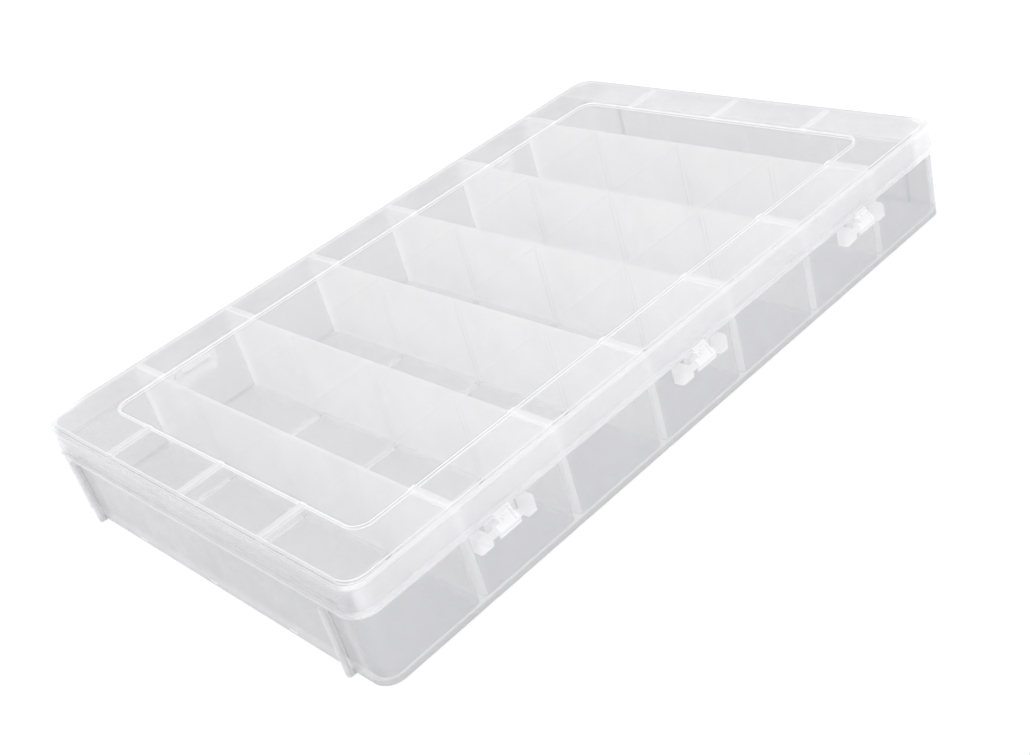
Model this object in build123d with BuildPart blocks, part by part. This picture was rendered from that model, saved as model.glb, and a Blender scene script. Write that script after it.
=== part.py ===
from build123d import *
import math
import os

# Compartment storage box: a clear tray with six moulded cross walls, twenty-one
# lift-out dividers, a hinged lid and two swing latches.
# Millimetres. Z = 0 is the underside of the tray, +Y is the hinge side,
# -Y is the latch side, +X and -X are the short ends.

# ---------------------------------------------------------------- tray
BASE_HX, BASE_HY = 173.45, 108.05      # outer half lengths of the tray wall
BASE_R = 8.0                           # outer corner radius in plan
BASE_FOOT_R = 0.8                      # rounding under the bottom edge
IN_HX, IN_HY = 171.45, 106.05          # inner half lengths
IN_R = 6.0
FLOOR_Z = 1.2                          # floor thickness
LEDGE_Z = 32.3                         # height at which the wall thins for the lid
RIM_HX, RIM_HY = 172.35, 106.95        # outer half lengths of the thin rim
RIM_R = 6.9
RIM_Z = 43.05                          # top of the rim

PITCH = 50.1                           # cross wall pitch
WALL_T = 1.8                           # cross wall thickness
WALL_Z = 42.9                          # top of the cross walls
WALL_X = [(2.5 - i) * PITCH for i in range(6)]
LANE_N = 7
WALL_CORNER_R = 2.4                    # rounding where cross walls meet the outer wall
FOOT_FILLET = 1.8                      # rounding where walls meet the floor

# ---------------------------------------------------------------- dividers
DIV_Y = (-53.6, 0.0, 53.6)             # divider rows across the tray
DIV_T = 1.2
DIV_Z0, DIV_Z1 = 1.45, 42.7
DIV_CORNER = 2.3                       # cut corners clear the wall feet
DIV_GAP = 0.3                          # end gap between divider and wall
GUIDE_W = 0.9                          # guide rib width
GUIDE_D = 1.1                          # guide rib depth
GUIDE_OFF = DIV_T / 2 + 0.15 + GUIDE_W / 2
GUIDE_Z = 40.5
FLOOR_RIB_H = 0.8

# ---------------------------------------------------------------- end ribs
END_RIB_Y = 88.3
END_RIB_W = 3.0
END_RIB_X = 176.3
END_RIB_Z = 31.2

# ---------------------------------------------------------------- lid
LID_HX, LID_HY = 174.0, 108.6
LID_R = 9.0
LID_Z0 = 32.7                          # bottom of the skirt
LID_Z1 = 45.1                          # top of the rim bead
LID_EDGE_R = 1.6                       # rounding of the top outer edge
SKIRT_HX, SKIRT_HY = 172.95, 107.55    # inner faces of the skirt
SKIRT_R = 7.9
LIP_HX, LIP_HY = 175.5, 110.1          # bead round the bottom of the skirt
LIP_R = 10.2
LIP_H = 2.0
BAND_HX, BAND_HY = 171.0, 105.6        # inner edge of the raised rim bead
BAND_R = 8.0
BAND_Z = 44.5
BAND_UNDER_Z = 43.4
PANEL_HX, PANEL_HY = 150.6, 84.65      # sunken panel
PANEL_R = 7.0
PANEL_Z = 44.05
PANEL_UNDER_Z = 43.05
PANEL_STEP = 1.2                       # wall round the sunken panel
BAR_W = 3.2                            # stiffening bars across the band
BAR_Z = 44.9

# ---------------------------------------------------------------- hinges
HINGE_X = (110.8, 1.6, -107.8)
PIN_Y, PIN_Z = 111.9, 28.0
PIN_R = 1.5
EAR_R = 3.3
EAR_IN, EAR_OUT = 9.2, 13.9            # ear faces from the hinge centre
EAR_PLAN_R = 3.4                       # rounding of the ear seen from above
TAB_HW = 7.2                           # half width of the lid tab
TAB_Y0, TAB_Y1 = 109.1, 110.3
TAB_Z = 26.0
KNUCKLE_HW = 5.0
BLOCK_X0, BLOCK_X1 = -4.3, 3.0         # hook block above the knuckle, from the hinge centre
KNUCKLE_R = 2.9
BORE_R = 1.56

# ---------------------------------------------------------------- latches
LATCH_X = (100.2, -100.2)
LATCH_HW = 13.7
LATCH_PY, LATCH_PZ = -112.0, 39.2      # latch pivot axis
LATCH_BARREL_R = 2.3
LATCH_STUB_R = 1.2
LATCH_STUB_L = 2.2
LUG_GAP = 0.3
LUG_W = 2.6
LUG_R = 2.3
LUG_BORE_R = 1.26
PLATE_Y0, PLATE_Y1 = -112.3, -110.6
PLATE_Z0 = 18.5
GRIP_Y = -115.2
HOOK_Z0, HOOK_Z1 = 23.8, 26.0
HOOK_Y = -108.9
HOOK_HW = 9.0
CATCH_Y = -110.2
CATCH_Z0, CATCH_Z1 = 26.3, 28.8
CATCH_HW = 10.5

os.makedirs("parts", exist_ok=True)


def lane_faces(i):
    """Inner x faces of lane i, lane 0 being at the +X end."""
    hi = IN_HX if i == 0 else WALL_X[i - 1] - WALL_T / 2
    lo = -IN_HX if i == LANE_N - 1 else WALL_X[i] + WALL_T / 2
    return lo, hi


LANES = [lane_faces(i) for i in range(LANE_N)]

# hinge ears: a cheek with a rounded end, its outer corner rounded off in plan
ears = []
for hx in HINGE_X:
    for s in (-1, 1):
        xa, xb = hx + s * EAR_IN, hx + s * EAR_OUT
        ymax = PIN_Y + EAR_R
        with BuildPart() as ear:
            with BuildSketch(Plane.YZ.offset(min(xa, xb))):
                with Locations((PIN_Y, PIN_Z)):
                    Circle(EAR_R)
                with Locations(((BASE_HY - 0.5 + PIN_Y) / 2, PIN_Z)):
                    Rectangle(PIN_Y - BASE_HY + 0.5, 2 * EAR_R)
            extrude(amount=EAR_OUT - EAR_IN)
            with BuildSketch(Plane.XY.offset(PIN_Z - EAR_R - 1)):
                with BuildLine():
                    Line((xa, BASE_HY - 0.5), (xa, ymax))
                    Line((xa, ymax), (xb - s * EAR_PLAN_R, ymax))
                    ThreePointArc(
                        (xb - s * EAR_PLAN_R, ymax),
                        (xb - s * EAR_PLAN_R * (1 - math.sqrt(0.5)), ymax - EAR_PLAN_R * (1 - math.sqrt(0.5))),
                        (xb, ymax - EAR_PLAN_R),
                    )
                    Line((xb, ymax - EAR_PLAN_R), (xb, BASE_HY - 0.5))
                    Line((xb, BASE_HY - 0.5), (xa, BASE_HY - 0.5))
                make_face()
            extrude(amount=2 * EAR_R + 2, mode=Mode.INTERSECT)
        ears.append(ear.part)

# ======================================================================
# Tray: floor, outer wall, thin rim, six cross walls, guide ribs,
# hinge ears with their pins, latch catches and end ribs in one moulding
# ======================================================================
with BuildPart() as base:
    with BuildSketch(Plane.XY):
        RectangleRounded(2 * BASE_HX, 2 * BASE_HY, BASE_R)
    extrude(amount=LEDGE_Z)
    fillet(base.faces().sort_by(Axis.Z)[0].edges(), radius=BASE_FOOT_R)
    fillet(base.faces().sort_by(Axis.Z)[-1].edges(), radius=0.4)
    with BuildSketch(Plane.XY.offset(LEDGE_Z - 1.0)):
        RectangleRounded(2 * RIM_HX, 2 * RIM_HY, RIM_R)
    extrude(amount=RIM_Z - LEDGE_Z + 1.0)

    # the seven lanes, with rounded corners where walls meet
    with BuildSketch(Plane.XY.offset(FLOOR_Z)) as lanes:
        RectangleRounded(2 * IN_HX, 2 * IN_HY, IN_R)
        with Locations(*[(x, 0) for x in WALL_X]):
            Rectangle(WALL_T, 2 * IN_HY + 2, mode=Mode.SUBTRACT)
        corners = [
            v for v in lanes.vertices()
            if abs(abs(v.Y) - IN_HY) < 0.01
            and min(abs(abs(v.X - x) - WALL_T / 2) for x in WALL_X) < 0.01
        ]
        fillet(corners, radius=WALL_CORNER_R)
    extrude(amount=RIM_Z + 2 - FLOOR_Z, mode=Mode.SUBTRACT)
    feet = [
        e for e in base.edges()
        if abs(e.bounding_box().min.Z - FLOOR_Z) < 0.01
        and abs(e.bounding_box().max.Z - FLOOR_Z) < 0.01
    ]
    fillet(feet, radius=FOOT_FILLET)

    # cross walls stop just under the rim
    with BuildSketch(Plane.XY.offset(WALL_Z)):
        RectangleRounded(2 * IN_HX, 2 * IN_HY, IN_R)
    extrude(amount=RIM_Z + 1 - WALL_Z, mode=Mode.SUBTRACT)

    # paired guide ribs for the dividers, on both faces of every lane
    rib_spots = []
    for lo, hi in LANES:
        for y in DIV_Y:
            for s in (-1, 1):
                rib_spots.append((lo + GUIDE_D / 2 - 0.2, y + s * GUIDE_OFF))
                rib_spots.append((hi - GUIDE_D / 2 + 0.2, y + s * GUIDE_OFF))
    with BuildSketch(Plane.XY.offset(FLOOR_Z - 0.3)):
        with Locations(*rib_spots):
            Rectangle(GUIDE_D + 0.4, GUIDE_W)
    extrude(amount=GUIDE_Z - FLOOR_Z + 0.3)

    # low paired ribs across the floor under each divider
    for lo, hi in LANES:
        with BuildSketch(Plane.XY.offset(FLOOR_Z - 0.3)):
            with Locations(*[((lo + hi) / 2, y + s * GUIDE_OFF) for y in DIV_Y for s in (-1, 1)]):
                Rectangle(hi - lo + 0.2, GUIDE_W)
        extrude(amount=FLOOR_RIB_H + 0.3)

    # upright ribs on the outside of both ends
    with BuildSketch(Plane.XY):
        with Locations(*[(sx * (END_RIB_X - 1.9), sy * END_RIB_Y) for sx in (-1, 1) for sy in (-1, 1)]):
            RectangleRounded(3.8, END_RIB_W, 0.9)
    extrude(amount=END_RIB_Z)

    # hinge ears, each a rounded cheek, and the pin between them
    for ear_part in ears:
        add(ear_part)
    for hx in HINGE_X:
        with BuildSketch(Plane.YZ.offset(hx - EAR_IN - 0.5)):
            with Locations((PIN_Y, PIN_Z)):
                Circle(PIN_R)
        extrude(amount=2 * EAR_IN + 1.0)

    # latch catches: a wedge on the outer wall under each latch
    for lx in LATCH_X:
        with BuildSketch(Plane.YZ.offset(lx - CATCH_HW)):
            with BuildLine():
                Polyline(
                    (-BASE_HY + 0.5, CATCH_Z0),
                    (CATCH_Y, CATCH_Z0),
                    (CATCH_Y, CATCH_Z0 + 0.9),
                    (-BASE_HY, CATCH_Z1 + 1.2),
                    (-BASE_HY + 0.5, CATCH_Z1 + 1.2),
                    close=True,
                )
            make_face()
        extrude(amount=2 * CATCH_HW)

base.part.label = "base"
export_step(base.part, "parts/base.step")

# ======================================================================
# Lid: shell with raised rim bead, sunken panel, bars, hinge tabs, lugs
# ======================================================================
with BuildPart() as lid:
    with BuildSketch(Plane.XY.offset(LID_Z0)):
        RectangleRounded(2 * LID_HX, 2 * LID_HY, LID_R)
    extrude(amount=LID_Z1 - LID_Z0)
    fillet(lid.faces().sort_by(Axis.Z)[-1].edges(), radius=LID_EDGE_R)

    # bead round the bottom of the skirt
    with BuildSketch(Plane.XY.offset(LID_Z0)):
        RectangleRounded(2 * LIP_HX, 2 * LIP_HY, LIP_R)
        RectangleRounded(2 * (LID_HX - 0.4), 2 * (LID_HY - 0.4), LID_R - 0.4, mode=Mode.SUBTRACT)
    extrude(amount=LIP_H)
    # raised rim bead, then the sunken panel
    with BuildSketch(Plane.XY.offset(BAND_Z)):
        RectangleRounded(2 * BAND_HX, 2 * BAND_HY, BAND_R)
    extrude(amount=LID_Z1 - BAND_Z, mode=Mode.SUBTRACT)
    with BuildSketch(Plane.XY.offset(PANEL_Z)):
        RectangleRounded(2 * PANEL_HX, 2 * PANEL_HY, PANEL_R)
    extrude(amount=LID_Z1 - PANEL_Z, mode=Mode.SUBTRACT)

    # bars across the band: over the cross walls on the long sides, over the
    # divider rows at the ends
    with BuildSketch(Plane.XY.offset(BAND_Z - 0.2)):
        with Locations(*[(x, s * (PANEL_HY + BAND_HY) / 2) for x in WALL_X for s in (-1, 1)]):
            Rectangle(BAR_W, BAND_HY - PANEL_HY + 0.6)
        with Locations(*[(s * (PANEL_HX + BAND_HX) / 2, y) for y in DIV_Y for s in (-1, 1)]):
            Rectangle(BAND_HX - PANEL_HX + 0.6, BAR_W)
    extrude(amount=BAR_Z - BAND_Z + 0.2)

    # hollow underside: skirt space first, then the pocket under the band
    with BuildSketch(Plane.XY.offset(LID_Z0)):
        RectangleRounded(2 * SKIRT_HX, 2 * SKIRT_HY, SKIRT_R)
    extrude(amount=PANEL_UNDER_Z - LID_Z0, mode=Mode.SUBTRACT)
    with BuildSketch(Plane.XY.offset(PANEL_UNDER_Z)):
        RectangleRounded(2 * SKIRT_HX, 2 * SKIRT_HY, SKIRT_R)
        RectangleRounded(2 * (PANEL_HX + PANEL_STEP), 2 * (PANEL_HY + PANEL_STEP), PANEL_R + PANEL_STEP, mode=Mode.SUBTRACT)
        # bars on the long bands over the cross walls stay solid
        with Locations(*[(x, s * (PANEL_HY + 12.5)) for x in WALL_X for s in (-1, 1)]):
            Rectangle(1.8, 40.0, mode=Mode.SUBTRACT)
        # bars on the end bands over the divider rows
        with Locations(*[(s * (PANEL_HX + 12.5), y) for y in DIV_Y for s in (-1, 1)]):
            Rectangle(40.0, 1.8, mode=Mode.SUBTRACT)
    extrude(amount=BAND_UNDER_Z - PANEL_UNDER_Z, mode=Mode.SUBTRACT)
    # the rim of the tray reaches up past the bars, so they stop short of it
    with BuildSketch(Plane.XY.offset(PANEL_UNDER_Z - 0.1)):
        RectangleRounded(2 * SKIRT_HX, 2 * SKIRT_HY, SKIRT_R)
        RectangleRounded(2 * (IN_HX - 0.5), 2 * (IN_HY - 0.5), IN_R, mode=Mode.SUBTRACT)
    extrude(amount=BAND_UNDER_Z - PANEL_UNDER_Z + 0.1, mode=Mode.SUBTRACT)

    # hinge tabs: a thin plate down from the skirt with a hook block on it
    for hx in HINGE_X:
        with BuildSketch(Plane.YZ.offset(hx - TAB_HW)):
            with BuildLine():
                Polyline(
                    (LID_HY - 0.5, LID_Z0 + 1.9),
                    (LIP_HY + 0.05, LID_Z0 + 1.9),
                    (TAB_Y1, LID_Z0 - 1.0),
                    (TAB_Y1, TAB_Z),
                    (TAB_Y0, TAB_Z),
                    (TAB_Y0, LID_Z0 - 0.4),
                    (LID_HY - 0.5, LID_Z0 + 0.2),
                    close=True,
                )
            make_face()
        extrude(amount=2 * TAB_HW)
        with BuildSketch(Plane.YZ.offset(hx - KNUCKLE_HW)):
            with Locations((PIN_Y, PIN_Z)):
                Circle(KNUCKLE_R)
            with BuildLine():
                Polyline(
                    (TAB_Y0 + 0.4, PIN_Z + KNUCKLE_R),
                    (PIN_Y, PIN_Z + KNUCKLE_R),
                    (PIN_Y, PIN_Z - KNUCKLE_R),
                    (TAB_Y0 + 0.6, TAB_Z),
                    close=True,
                )
            make_face()
        extrude(amount=2 * KNUCKLE_HW)
        with BuildSketch(Plane.YZ.offset(hx + BLOCK_X0)):
            with BuildLine():
                Polyline(
                    (TAB_Y0 + 0.4, LID_Z0 + 1.6),
                    (LIP_HY + 0.7, LID_Z0 + 1.6),
                    (PIN_Y + KNUCKLE_R * math.cos(math.radians(30)), PIN_Z + KNUCKLE_R * math.sin(math.radians(30))),
                    (PIN_Y, PIN_Z),
                    (TAB_Y0 + 0.4, PIN_Z + 1.0),
                    close=True,
                )
            make_face()
        extrude(amount=BLOCK_X1 - BLOCK_X0)
        # seat for the pin, open downwards so that the hook snaps over it
        with BuildSketch(Plane.YZ.offset(hx - TAB_HW - 0.5)):
            with Locations((PIN_Y, PIN_Z)):
                Circle(BORE_R)
        extrude(amount=2 * TAB_HW + 1, mode=Mode.SUBTRACT)
        with BuildSketch(Plane.YZ.offset(hx - TAB_HW - 0.5)):
            with Locations((PIN_Y + 0.15, PIN_Z - 3.0)):
                Rectangle(2.5, 6.0)
        extrude(amount=2 * TAB_HW + 1, mode=Mode.SUBTRACT)
        # small round window and a narrow slot in the hook block
        with BuildSketch(Plane.XZ.offset(-(PIN_Y + 6))):
            with Locations((hx + 0.8, PIN_Z + 4.0)):
                Circle(0.85)
            with Locations((hx - 3.2, PIN_Z + 3.5)):
                Rectangle(0.9, 4.6)
        extrude(amount=10.0, mode=Mode.SUBTRACT)

    # lugs for the latch pivots
    for lx in LATCH_X:
        for s in (-1, 1):
            x0 = lx + (LATCH_HW + LUG_GAP if s > 0 else -(LATCH_HW + LUG_GAP + LUG_W))
            with BuildSketch(Plane.YZ.offset(x0)):
                with Locations((LATCH_PY, LATCH_PZ)):
                    Circle(LUG_R)
                with BuildLine():
                    Polyline(
                        (-LID_HY + 0.4, LATCH_PZ + LUG_R),
                        (LATCH_PY, LATCH_PZ + LUG_R),
                        (LATCH_PY, LATCH_PZ - LUG_R),
                        (-LID_HY + 0.4, LATCH_PZ - LUG_R - 1.6),
                        close=True,
                    )
                make_face()
                with Locations((LATCH_PY, LATCH_PZ)):
                    Circle(LUG_BORE_R, mode=Mode.SUBTRACT)
            extrude(amount=LUG_W)

lid.part.label = "lid"
export_step(lid.part, "parts/lid.step")

# ======================================================================
# Latches: plate with a barrel and two stub pins, grip lip and hook
# ======================================================================
for lname, lx in (("latch_right", LATCH_X[0]), ("latch_left", LATCH_X[1])):
    with BuildPart() as latch:
        # plate outline with rounded lower corners, across its full width
        with BuildSketch(Plane.XZ.offset(-PLATE_Y0)):
            with BuildLine():
                Polyline(
                    (lx - LATCH_HW, LATCH_PZ),
                    (lx - LATCH_HW, PLATE_Z0),
                    (lx + LATCH_HW, PLATE_Z0),
                    (lx + LATCH_HW, LATCH_PZ),
                    close=True,
                )
            make_face()
        extrude(amount=-(PLATE_Y1 - PLATE_Y0))
        corner_edges = [
            e for e in latch.edges().filter_by(Axis.Y)
            if e.center().Z < PLATE_Z0 + 0.1
        ]
        fillet(corner_edges, radius=5.0)
        # barrel and stub pins
        with BuildSketch(Plane.YZ.offset(lx - LATCH_HW)):
            with Locations((LATCH_PY, LATCH_PZ)):
                Circle(LATCH_BARREL_R)
        extrude(amount=2 * LATCH_HW)
        with BuildSketch(Plane.YZ.offset(lx - LATCH_HW - LATCH_STUB_L)):
            with Locations((LATCH_PY, LATCH_PZ)):
                Circle(LATCH_STUB_R)
        extrude(amount=2 * (LATCH_HW + LATCH_STUB_L))
        # grip lip along the bottom edge
        with BuildSketch(Plane.YZ.offset(lx - LATCH_HW + 5.0)):
            with BuildLine():
                Polyline(
                    (PLATE_Y1, PLATE_Z0),
                    (GRIP_Y + 0.7, PLATE_Z0),
                    (GRIP_Y, PLATE_Z0 + 0.7),
                    (GRIP_Y, PLATE_Z0 + 1.3),
                    (PLATE_Y0, PLATE_Z0 + 4.6),
                    (PLATE_Y1, PLATE_Z0 + 4.6),
                    close=True,
                )
            make_face()
        extrude(amount=2 * LATCH_HW - 10.0)
        # hook that grips under the catch
        with BuildSketch(Plane.YZ.offset(lx - HOOK_HW)):
            with BuildLine():
                Polyline(
                    (PLATE_Y1 - 0.3, HOOK_Z1),
                    (HOOK_Y, HOOK_Z1),
                    (HOOK_Y, HOOK_Z1 - 0.7),
                    (PLATE_Y1, HOOK_Z0 - 0.6),
                    (PLATE_Y1 - 0.3, HOOK_Z0 - 0.6),
                    close=True,
                )
            make_face()
        extrude(amount=2 * HOOK_HW)
    latch.part.label = lname
    export_step(latch.part, "parts/" + lname + ".step")

# ======================================================================
# Dividers: thin flat plates that drop between the guide ribs
# ======================================================================
ROW_NAME = {DIV_Y[0]: "front", DIV_Y[1]: "middle", DIV_Y[2]: "rear"}
for i, (lo, hi) in enumerate(LANES):
    for y in DIV_Y:
        with BuildPart() as divider:
            with BuildSketch(Plane.XZ.offset(-(y - DIV_T / 2))):
                with BuildLine():
                    Polyline(
                        (lo + DIV_GAP, DIV_Z1),
                        (lo + DIV_GAP, DIV_Z0 + DIV_CORNER),
                        (lo + DIV_GAP + DIV_CORNER, DIV_Z0),
                        (hi - DIV_GAP - DIV_CORNER, DIV_Z0),
                        (hi - DIV_GAP, DIV_Z0 + DIV_CORNER),
                        (hi - DIV_GAP, DIV_Z1),
                        close=True,
                    )
                make_face()
            extrude(amount=-DIV_T)
            fillet(divider.edges().filter_by(Axis.X).group_by(Axis.Z)[-1], radius=0.35)
        name = "divider_lane" + str(i + 1) + "_" + ROW_NAME[y]
        divider.part.label = name
        export_step(divider.part, "parts/" + name + ".step")
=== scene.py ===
import math

import bmesh
import bpy
from mathutils import Matrix, Vector

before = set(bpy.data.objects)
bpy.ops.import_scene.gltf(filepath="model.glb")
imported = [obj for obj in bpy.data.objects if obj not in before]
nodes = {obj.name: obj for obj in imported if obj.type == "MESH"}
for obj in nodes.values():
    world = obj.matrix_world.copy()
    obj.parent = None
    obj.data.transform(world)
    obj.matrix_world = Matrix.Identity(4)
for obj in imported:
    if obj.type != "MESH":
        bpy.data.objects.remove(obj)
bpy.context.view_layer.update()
scene = bpy.context.scene
scene.view_settings.view_transform = "Standard"
scene.view_settings.look = "None"

# lines of the moulding, in metres
MM = 0.001
PITCH = 50.1 * MM
WALL_X = [(2.5 - i) * PITCH for i in range(6)]
DIV_Y = (-53.6 * MM, 0.0, 53.6 * MM)
HINGE_X = (110.8 * MM, 1.6 * MM, -107.8 * MM)


# ---------------------------------------------------------------- node helpers
class Tree:
    """A material's node tree, with short calls for the nodes used here."""

    def __init__(self, name):
        self.mat = bpy.data.materials.new(name)
        self.mat.use_nodes = True
        self.t = self.mat.node_tree
        self.t.nodes.clear()
        self.out = self.t.nodes.new("ShaderNodeOutputMaterial")
        tc = self.node("ShaderNodeTexCoord")
        self.obj = tc.outputs["Object"]
        sep = self.node("ShaderNodeSeparateXYZ")
        self.link(self.obj, sep.inputs[0])
        self.x, self.y, self.z = sep.outputs
        nsep = self.node("ShaderNodeSeparateXYZ")
        self.link(tc.outputs["Normal"], nsep.inputs[0])
        self.nx, self.ny, self.nz = (self.abs(s) for s in nsep.outputs)
        self.ax, self.ay = self.abs(self.x), self.abs(self.y)

    def link(self, a, b):
        self.t.links.new(a, b)

    def put(self, socket, value):
        if isinstance(value, bpy.types.NodeSocket):
            self.link(value, socket)
        elif value is not None:
            socket.default_value = value

    def node(self, kind, **props):
        n = self.t.nodes.new(kind)
        for k, v in props.items():
            setattr(n, k, v)
        return n

    def math(self, op, a, b=None, c=None, clamp=False):
        n = self.node("ShaderNodeMath", operation=op, use_clamp=clamp)
        for i, v in enumerate((a, b, c)):
            if v is not None:
                self.put(n.inputs[i], v)
        return n.outputs[0]

    def add(self, a, b):
        return self.math("ADD", a, b)

    def sub(self, a, b):
        return self.math("SUBTRACT", a, b)

    def mul(self, a, b):
        return self.math("MULTIPLY", a, b)

    def abs(self, a):
        return self.math("ABSOLUTE", a)

    def most(self, *v):
        r = v[0]
        for s in v[1:]:
            r = self.math("MAXIMUM", r, s)
        return r

    def least(self, *v):
        r = v[0]
        for s in v[1:]:
            r = self.math("MINIMUM", r, s)
        return r

    def ramp(self, v, lo, hi, to_lo=0.0, to_hi=1.0, smooth=True):
        """v from lo..hi onto to_lo..to_hi, clamped."""
        n = self.node("ShaderNodeMapRange", interpolation_type="SMOOTHSTEP" if smooth else "LINEAR", clamp=True)
        for i, s in enumerate((v, lo, hi, to_lo, to_hi)):
            self.put(n.inputs[i], s)
        return n.outputs[0]

    def near(self, v, at, half, soft):
        """1 where |v - at| is under half, easing to 0 over soft."""
        d = self.abs(self.sub(v, at)) if at else self.abs(v)
        return self.ramp(d, half, half + soft, 1.0, 0.0)

    def rounded(self, hx, hy, r):
        """Distance outside a rounded rectangle in plan, in metres."""
        qx, qy = self.sub(self.ax, hx - r), self.sub(self.ay, hy - r)
        px, py = self.most(qx, 0.0), self.most(qy, 0.0)
        out = self.math("SQRT", self.add(self.mul(px, px), self.mul(py, py)))
        return self.sub(self.add(out, self.least(self.most(qx, qy), 0.0)), r)

    def nearest(self, v, places):
        """Distance from v to the nearest of some places."""
        return self.least(*[self.abs(self.sub(v, p)) if p else self.abs(v) for p in places])

    def noise(self, vec, scale, detail=2.0, rough=0.5, distort=0.0):
        n = self.node("ShaderNodeTexNoise")
        self.put(n.inputs["Vector"], vec)
        n.inputs["Scale"].default_value = scale
        n.inputs["Detail"].default_value = detail
        n.inputs["Roughness"].default_value = rough
        n.inputs["Distortion"].default_value = distort
        return n.outputs["Fac"]

    def scaled(self, vec, s):
        n = self.node("ShaderNodeMapping")
        self.put(n.inputs["Vector"], vec)
        n.inputs["Scale"].default_value = s
        return n.outputs[0]

    def lerp(self, f, a, b):
        n = self.node("ShaderNodeMix", data_type="FLOAT")
        self.put(n.inputs[0], f)
        self.put(n.inputs[2], a)
        self.put(n.inputs[3], b)
        return n.outputs[0]

    def blend(self, f, a, b):
        n = self.node("ShaderNodeMix", data_type="RGBA")
        self.put(n.inputs[0], f)
        self.put(n.inputs[6], a)
        self.put(n.inputs[7], b)
        return n.outputs[2]

    def shaders(self, f, a, b):
        n = self.node("ShaderNodeMixShader")
        self.put(n.inputs[0], f)
        self.link(a, n.inputs[1])
        self.link(b, n.inputs[2])
        return n.outputs[0]


def plastic(name, haze, marks, tint, grey, white=(0.925, 0.923, 0.918, 1), painted_shade_white=(0.86, 0.86, 0.86, 1), rough=0.25, through=0.45, full=(0.56, 0.64), shade=(0.9, 0.9, 0.905, 1)):
    """Moulded polypropylene. Light goes straight through it, less where the
    sheet is seen at a slant, and haze is the share that one face scatters when
    seen square on. marks(tree, cloud) gives four masks: the first is 1 where
    the moulding is milky, and on the lid also carries painted light; the second
    is 1 along edges and ribs, where painted highlights stand for the light they
    gather; the third darkens the see-through colour as painted shade; the
    fourth gives outer faces a dimmer white, as painted shade."""
    t = Tree(name)
    cloud = t.noise(t.obj, 38.0, 2.0, 0.5)
    fine = t.noise(t.scaled(t.obj, (300.0, 640.0, 640.0)), 1.0, 1.0, 0.6)

    lw = t.node("ShaderNodeLayerWeight")
    lw.inputs["Blend"].default_value = 0.5
    facing = lw.outputs["Facing"]
    cosv = t.most(t.sub(1.0, facing), 0.15)

    frost_and_painted_light, painted_highlight, painted_shade, painted_outer_shade = marks(t, cloud)
    h = t.math("DIVIDE", t.mul(t.ramp(cloud, 0.3, 0.7, haze * 0.88, haze * 1.12, smooth=False), 1.0), cosv)
    h = t.lerp(frost_and_painted_light, h, t.ramp(cloud, 0.3, 0.7, full[0], full[1], smooth=False))
    # painted highlights also make the sheet nearly opaque along them
    h = t.lerp(painted_highlight, h, 0.75)
    # a sheet seen edge on goes milky
    edge_on = t.mul(0.6, t.math("POWER", facing, 4.0))
    h = t.least(t.most(h, edge_on), 0.97)

    p = t.node("ShaderNodeBsdfPrincipled")
    # painted highlights and milky parts take the white; on outer faces it is swapped for a dimmer white, painted shade
    bright = t.most(frost_and_painted_light, painted_highlight, edge_on)
    mottled = t.blend(t.ramp(cloud, 0.35, 0.65), tuple(c * 0.97 for c in grey[:3]) + (1,), grey)
    colour = t.blend(bright, mottled, t.blend(painted_outer_shade, white, painted_shade_white) if painted_outer_shade is not None else white)
    t.put(p.inputs["Base Color"], colour)
    t.put(p.inputs["Roughness"], t.ramp(fine, 0.2, 0.8, rough, rough + 0.14, smooth=False))
    p.inputs["IOR"].default_value = 1.49
    tl = t.node("ShaderNodeBsdfTranslucent")
    t.put(tl.inputs["Color"], colour)
    clear = t.node("ShaderNodeBsdfTransparent")
    # painted shade: where marked, the see-through colour drops to 0.72 of the tint
    if painted_shade is None:
        clear.inputs["Color"].default_value = tint
    else:
        t.put(clear.inputs["Color"], t.blend(painted_shade, tint, tuple(c * 0.72 for c in tint[:3]) + (1,)))
    gl = t.node("ShaderNodeBsdfGlossy")
    gl.inputs["Color"].default_value = (1, 1, 1, 1)
    t.put(gl.inputs["Roughness"], t.ramp(fine, 0.2, 0.8, rough * 0.5, rough * 0.5 + 0.08, smooth=False))

    bump = t.node("ShaderNodeBump")
    bump.inputs["Strength"].default_value = 0.15
    bump.inputs["Distance"].default_value = 0.0006
    t.put(bump.inputs["Height"], t.add(cloud, t.mul(fine, 0.008)))
    for s in (p, gl):
        t.link(bump.outputs[0], s.inputs["Normal"])

    scatter = t.shaders(through, p.outputs[0], tl.outputs[0])
    skin = t.shaders(h, clear.outputs[0], scatter)
    fres = t.add(0.03, t.mul(0.8, t.math("POWER", facing, 5.0)))
    seen = t.shaders(t.least(fres, 0.5), skin, gl.outputs[0])
    # lamps reach what is behind the sheet
    path = t.node("ShaderNodeLightPath")
    lamp = t.node("ShaderNodeBsdfTransparent")
    lamp.inputs["Color"].default_value = shade
    t.link(t.shaders(path.outputs["Is Shadow Ray"], seen, lamp.outputs[0]), t.out.inputs["Surface"])
    return t.mat


def filleted(t, lo=0.06, hi=0.35):
    """1 on faces that are neither upright nor flat."""
    return t.mul(t.ramp(t.nz, lo, hi), t.ramp(t.nz, 0.995, 0.94))


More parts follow.
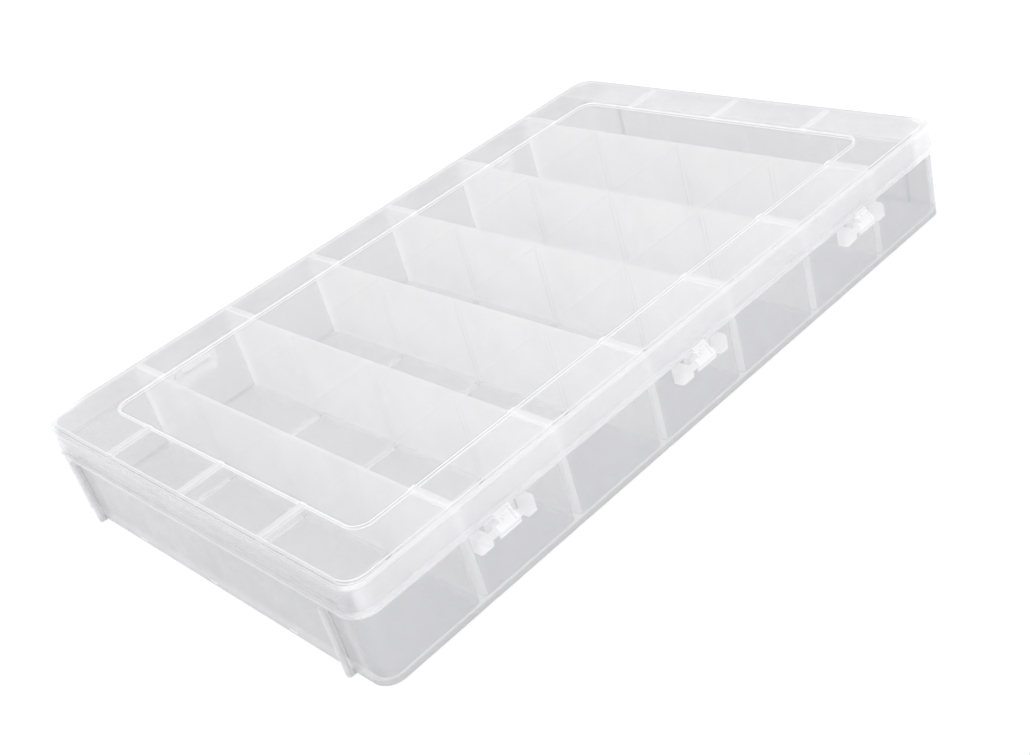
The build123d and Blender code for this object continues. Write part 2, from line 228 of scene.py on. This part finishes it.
def tray_marks(t, cloud):
    wall = t.nearest(t.x, WALL_X)
    inner = t.ramp(t.ay, 0.1056, 0.1064, 1.0, 0.0)
    up = t.ramp(t.z, 0.0015, 0.0032)
    frost_and_painted_light = t.mul(t.ramp(wall, 0.0021, 0.0022, 1.0, 0.0), t.mul(inner, up))
    # the guide ribs beside each divider let their wall show through
    frost_and_painted_light = t.mul(frost_and_painted_light, t.ramp(t.mul(t.ny, inner), 0.4, 0.8, 1.0, 0.9))
    # rounded corners where the cross walls meet the outer wall
    ends = t.mul(t.ramp(wall, 0.0028, 0.0036, 0.5, 0.0), t.mul(t.ramp(t.ay, 0.1034, 0.1040), inner))
    frost_and_painted_light = t.most(frost_and_painted_light, t.mul(ends, up))
    # hinge ears and pins
    frost_and_painted_light = t.most(frost_and_painted_light, t.ramp(t.y, 0.1083, 0.1088, 0.0, 0.9))
    # painted highlights along edges: wall tops, rim, the ledge outside, the rounded feet, the foot edge, end ribs
    painted_highlight = t.mul(t.ramp(t.z, 0.0422, 0.0426, 0.0, 0.3), t.ramp(t.ay, 0.1056, 0.1064))
    painted_highlight = t.most(painted_highlight, t.mul(t.mul(filleted(t), 0.4), t.ramp(wall, 0.0035, 0.0045, 1.0, 0.0)))
    painted_highlight = t.most(painted_highlight, t.mul(t.near(t.z, 0.0323, 0.0003, 0.0004), t.ramp(t.rounded(0.17345, 0.10805, 0.008), -0.0013, -0.0010, 0.0, 0.7)))
    painted_highlight = t.most(painted_highlight, t.ramp(t.ax, 0.1739, 0.1743, 0.0, 0.5))
    # painted highlights on the guide ribs on the end walls
    post = t.mul(t.ramp(t.nearest(t.y, DIV_Y), 0.0018, 0.0021, 0.5, 0.0), t.mul(t.ramp(t.ax, 0.1698, 0.1702), t.ramp(t.ax, 0.1718, 0.1722, 1.0, 0.0)))
    painted_highlight = t.most(painted_highlight, t.mul(post, up))
    # painted highlights on the low ribs on the floor beside the dividers, weaker in the lanes far from the camera
    low = t.mul(t.ramp(t.z, 0.0013, 0.0016), t.ramp(t.z, 0.0024, 0.0028, 0.9, 0.0))
    low = t.mul(low, t.ramp(t.x, -0.0050, 0.0500, 0.35, 1.0))
    painted_highlight = t.most(painted_highlight, t.mul(low, t.mul(t.ramp(t.nearest(t.y, DIV_Y), 0.0024, 0.0028, 1.0, 0.0), t.ramp(wall, 0.0035, 0.0045))))
    # painted shade: outer faces, and the hinge ears less, take a dimmer white
    painted_outer_shade = t.mul(t.ramp(t.rounded(0.17345, 0.10805, 0.008), -0.0016, -0.0012), t.ramp(t.y, 0.1083, 0.1088, 1.0, 0.4))
    # painted shade on the outer wall's see-through colour, darker on the far long side and the ends than on the hinge
    # side, more along the near end and most at the foot; the outer wall is also thicker than the floor, and thickest at
    # its foot
    near_end_painted_shade = t.mul(t.ramp(t.ay, 0.0940, 0.0990, 1.0, -0.35), t.ramp(t.y, -0.0700, -0.0300, 0.46, 0.28))
    near_end_painted_shade = t.mul(t.mul(t.ramp(t.x, 0.1700, 0.1705), t.ramp(t.x, 0.1737, 0.1741, 1.0, 0.0)), t.add(near_end_painted_shade, t.ramp(t.z, 0.0020, 0.0100, 0.22, 0.0)))
    thickness_and_painted_shade = t.add(t.ramp(t.y, 0.103, 0.1055, 0.32, 0.02), near_end_painted_shade)
    painted_shade = t.most(t.mul(t.mul(t.ramp(t.nz, 0.3, 0.6, 1.0, 0.0), thickness_and_painted_shade), t.ramp(t.rounded(0.17345, 0.10805, 0.008), -0.0030, -0.0026)),
                  t.mul(t.ramp(t.z, 0.0024, 0.0036, 0.85, 0.0), t.ramp(t.rounded(0.17345, 0.10805, 0.008), -0.0012, -0.0006)))
    return frost_and_painted_light, painted_highlight, painted_shade, painted_outer_shade


def lid_marks(t, cloud):
    outer = t.rounded(0.1740, 0.1086, 0.009)
    bead = t.rounded(0.1710, 0.1056, 0.008)
    panel = t.rounded(0.1506, 0.08465, 0.007)
    top = t.ramp(t.z, 0.0425, 0.0429)
    # the sides away from the hinges and the first lane are seen edge on and read softer
    away = t.most(t.ramp(t.y, -0.1040, -0.1000, 1.0, 0.0), t.ramp(t.x, -0.1700, -0.1660, 1.0, 0.0))
    soft = t.lerp(away, 0.8, 0.3)
    # painted highlights along the panel edge, the bead and the outer edge, softer on the sides away from the hinges
    painted_highlight = t.near(panel, 0.0, 0.00045, 0.0003)
    painted_highlight = t.most(painted_highlight, t.mul(t.near(bead, 0.0, 0.0003, 0.0003), soft))
    painted_highlight = t.most(painted_highlight, t.mul(t.near(outer, -0.0006, 0.0003, 0.0004), soft))
    painted_highlight = t.mul(painted_highlight, top)
    # painted highlights on the bars across the band
    band = t.mul(t.ramp(panel, 0.0, 0.0006), t.ramp(bead, -0.0006, 0.0, 1.0, 0.0))
    bars = t.most(
        t.mul(t.ramp(t.nearest(t.x, WALL_X), 0.0015, 0.0018, 1.0, 0.0), t.ramp(t.ay, 0.0846, 0.0850)),
        t.mul(t.ramp(t.nearest(t.y, DIV_Y), 0.0015, 0.0018, 1.0, 0.0), t.ramp(t.ax, 0.1505, 0.1509)),
    )
    painted_highlight = t.most(painted_highlight, t.mul(t.mul(bars, band), 0.6))
    # painted highlights: two light edges on the lip round the skirt
    lip = t.ramp(outer, 0.0002, 0.0006)
    painted_highlight = t.most(painted_highlight, t.mul(t.mul(lip, 0.7), t.most(t.near(t.z, 0.0327, 0.0002, 0.0003), t.near(t.z, 0.0347, 0.0002, 0.0003))))
    # painted highlight on rounded faces, softer on the sides away from the hinges
    painted_highlight = t.most(painted_highlight, t.mul(filleted(t), t.lerp(away, 0.5, 0.2)))
    # hinge hooks and latch lugs
    frost_and_painted_light = t.most(t.ramp(t.ay, 0.1103, 0.1106, 0.0, 0.8), t.ramp(t.z, 0.0322, 0.0326, 0.7, 0.0))
    # the skirt is seen through more plastic than the top
    frost_and_painted_light = t.most(frost_and_painted_light, t.mul(t.ramp(t.z, 0.0425, 0.0432, 1.0, 0.0), t.most(t.ramp(t.y, 0.1045, 0.1065, 0.0, 0.46), t.ramp(t.x, 0.1680, 0.1710, 0.30, 0.12))))
    # painted light: the band round the panel is drawn a little milky, most of all on the latch side and the far end,
    # the sides away from the camera
    painted_band_light = t.most(t.ramp(t.y, -0.0875, -0.0835, 0.60, 0.0), t.ramp(t.x, -0.1535, -0.1495, 0.75, 0.0), t.ramp(t.x, 0.1495, 0.1535, 0.10, 0.0))
    frost_and_painted_light = t.most(frost_and_painted_light, t.mul(band, t.mul(top, painted_band_light)))
    # painted light: from the bead outward, the sides away from the hinges are drawn milky white
    painted_edge_light = t.mul(away, t.ramp(bead, -0.0006, 0.0))
    frost_and_painted_light = t.most(frost_and_painted_light, t.mul(painted_edge_light, 0.6))
    # corners seen through a lot of plastic: painted highlight, the two corners seen edge on are drawn milky white, as
    # light gathers there
    painted_corner_light = t.mul(t.ramp(t.mul(t.x, t.y), -0.0172, -0.0160, 1.0, 0.0), t.ramp(outer, -0.0052, -0.0040))
    frost_and_painted_light = t.most(frost_and_painted_light, t.mul(painted_corner_light, 0.9))
    # painted shade: the steps bend light away beside each line, so a darker tint is drawn there
    painted_shade = t.mul(t.most(t.near(panel, -0.0010, 0.0002, 0.0003), t.near(bead, 0.0010, 0.0002, 0.0003)), t.mul(top, 0.2))
    # painted shade: the lip, the outer skirt at the near end and the sides away from the hinges take a dimmer white
    painted_outer_shade = t.most(t.ramp(outer, 0.0004, 0.0010, 0.0, 0.6), t.mul(t.ramp(outer, -0.0012, -0.0004), t.ramp(t.x, 0.1725, 0.1735)))
    painted_outer_shade = t.most(painted_outer_shade, t.mul(painted_edge_light, 0.6), t.mul(away, t.ramp(outer, -0.0020, -0.0012)))
    # painted shade along the outer edge on the sides away from the hinges
    painted_shade = t.most(painted_shade, t.mul(t.mul(away, t.ramp(outer, -0.0014, -0.0006)), 0.6))
    # painted shade: light is lost in the band on the latch side and in the skirt of the first lane
    painted_shade = t.most(painted_shade, t.mul(t.mul(band, top), t.ramp(t.y, -0.0875, -0.0835, 0.22, 0.0)))
    painted_shade = t.most(painted_shade, t.mul(t.ramp(t.z, 0.0418, 0.0424, 1.0, 0.0), t.ramp(t.x, 0.1710, 0.1720, 0.0, 0.10)))
    painted_shade = t.mul(painted_shade, t.sub(1.0, painted_corner_light))
    painted_outer_shade = t.mul(t.mul(painted_outer_shade, t.ramp(t.ay, 0.1103, 0.1106, 1.0, 0.1)), t.sub(1.0, painted_corner_light))
    return frost_and_painted_light, painted_highlight, painted_shade, painted_outer_shade


def divider_marks(t, cloud):
    # painted highlights: the foot, shown less in the lanes far from the camera, the top edge and the upright end edges
    foot = t.mul(t.ramp(t.z, 0.0026, 0.0030, 0.4, 0.0), t.ramp(t.x, -0.0050, 0.0500, 0.25, 1.0))
    painted_highlight = t.most(t.ramp(t.z, 0.0421, 0.0424, 0.0, 0.02), foot)
    painted_edge_light = t.mul(t.ramp(t.nx, 0.5, 0.7), 0.05)
    return t.ramp(cloud, 0.3, 0.8, 0.0, 0.03), t.most(painted_highlight, painted_edge_light), None, None


def latch_marks(t, cloud):
    # milky body with random tone, and painted highlights on rounded faces
    return t.ramp(cloud, 0.2, 0.8, 0.85, 1.0), t.mul(filleted(t), 0.4), None, None


tray_mat = plastic("clear_tray", 0.125, tray_marks, (0.912, 0.914, 0.918, 1), (0.68, 0.682, 0.70, 1), shade=(0.9, 0.9, 0.905, 1))
lid_mat = plastic("clear_lid", 0.022, lid_marks, (0.985, 0.985, 0.986, 1), (0.88, 0.873, 0.895, 1), white=(0.90, 0.90, 0.90, 1), painted_shade_white=(0.64, 0.635, 0.65, 1), shade=(0.96, 0.96, 0.962, 1))
div_mat = plastic("clear_divider", 0.005, divider_marks, (0.999, 0.999, 0.999, 1), (0.95, 0.95, 0.96, 1), white=(0.88, 0.88, 0.885, 1), shade=(0.96, 0.96, 0.962, 1))
latch_mat = plastic("milky_latch", 0.5, latch_marks, (0.995, 0.995, 0.995, 1), (0.96, 0.96, 0.96, 1), white=(0.99, 0.985, 0.98, 1), through=0.85, full=(0.84, 0.92), shade=(0.7, 0.7, 0.7, 1))

for name, o in nodes.items():
    kind = name.split("_")[0]
    m = {"base": tray_mat, "lid": lid_mat, "divider": div_mat, "latch": latch_mat}[kind]
    o.data.materials.clear()
    o.data.materials.append(m)

# ---------------------------------------------------------------- stage
bm = bmesh.new()
s = 6.0
vs = [bm.verts.new(v) for v in ((-s, -s, 0), (s, -s, 0), (s, s, 0), (-s, s, 0))]
bm.faces.new(vs)
me = bpy.data.meshes.new("floor")
bm.to_mesh(me)
bm.free()
floor = bpy.data.objects.new("floor", me)
scene.collection.objects.link(floor)
floor.location.z = -0.0003
fm = bpy.data.materials.new("floor")
fm.use_nodes = True
fb = fm.node_tree.nodes["Principled BSDF"]
fb.inputs["Base Color"].default_value = (0.5, 0.5, 0.5, 1)
fb.inputs["Roughness"].default_value = 0.7
fb.inputs["Specular IOR Level"].default_value = 0.2
fb.inputs["Emission Color"].default_value = (1, 1, 1, 1)
fb.inputs["Emission Strength"].default_value = 0.44
me.materials.append(fm)

world = bpy.data.worlds.new("studio")
world.use_nodes = True
bg = world.node_tree.nodes["Background"]
bg.inputs["Color"].default_value = (1, 1, 1, 1)
bg.inputs["Strength"].default_value = 0.85
scene.world = world


def area(name, loc, target, size, power):
    l = bpy.data.lights.new(name, "AREA")
    l.shape = "RECTANGLE"
    l.size, l.size_y = size
    l.energy = power
    o = bpy.data.objects.new(name, l)
    scene.collection.objects.link(o)
    o.location = loc
    d = Vector(target) - Vector(loc)
    o.rotation_euler = d.to_track_quat("-Z", "Y").to_euler()
    o.visible_glossy = False
    return o


sun = bpy.data.lights.new("key", "SUN")
sun.energy = 1.58
sun.angle = math.radians(50)
key = bpy.data.objects.new("key", sun)
scene.collection.objects.link(key)
key.visible_glossy = False
key.rotation_euler = Vector((-0.80, -0.30, -0.55)).to_track_quat("-Z", "Y").to_euler()
back = bpy.data.lights.new("back", "SUN")
back.energy = 1.8
back.angle = math.radians(40)
rear = bpy.data.objects.new("back", back)
scene.collection.objects.link(rear)
rear.visible_glossy = False
rear.rotation_euler = Vector((0.15, 1.0, -0.2)).to_track_quat("-Z", "Y").to_euler()
area("top", (0.0, -0.2, 1.6), (0, 0, 0), (1.2, 0.8), 4)

# ---------------------------------------------------------------- camera
R = (
    (-0.68574068, 0.68385420, -0.24920504),
    (0.52620554, 0.22924969, -0.81887259),
    (-0.50285928, -0.69266732, -0.51705371),
)
cd = bpy.data.cameras.new("camera")
cd.lens = 48.960
cd.sensor_width = 36.0
cd.sensor_fit = "HORIZONTAL"
cd.clip_start = 0.02
cam = bpy.data.objects.new("camera", cd)
scene.collection.objects.link(cam)
m = Matrix.Identity(4)
for i in range(3):
    m[i][0], m[i][1], m[i][2] = R[0][i], -R[1][i], -R[2][i]
m[0][3], m[1][3], m[2][3] = 0.32412766, 0.43582800, 0.31730986
cam.matrix_world = m
scene.camera = cam

scene.cycles.transparent_max_bounces = 96
scene.cycles.max_bounces = 8
scene.cycles.denoising_input_passes = "RGB_ALBEDO"
scene.cycles.diffuse_bounces = 6
scene.cycles.glossy_bounces = 3
scene.cycles.transmission_bounces = 4

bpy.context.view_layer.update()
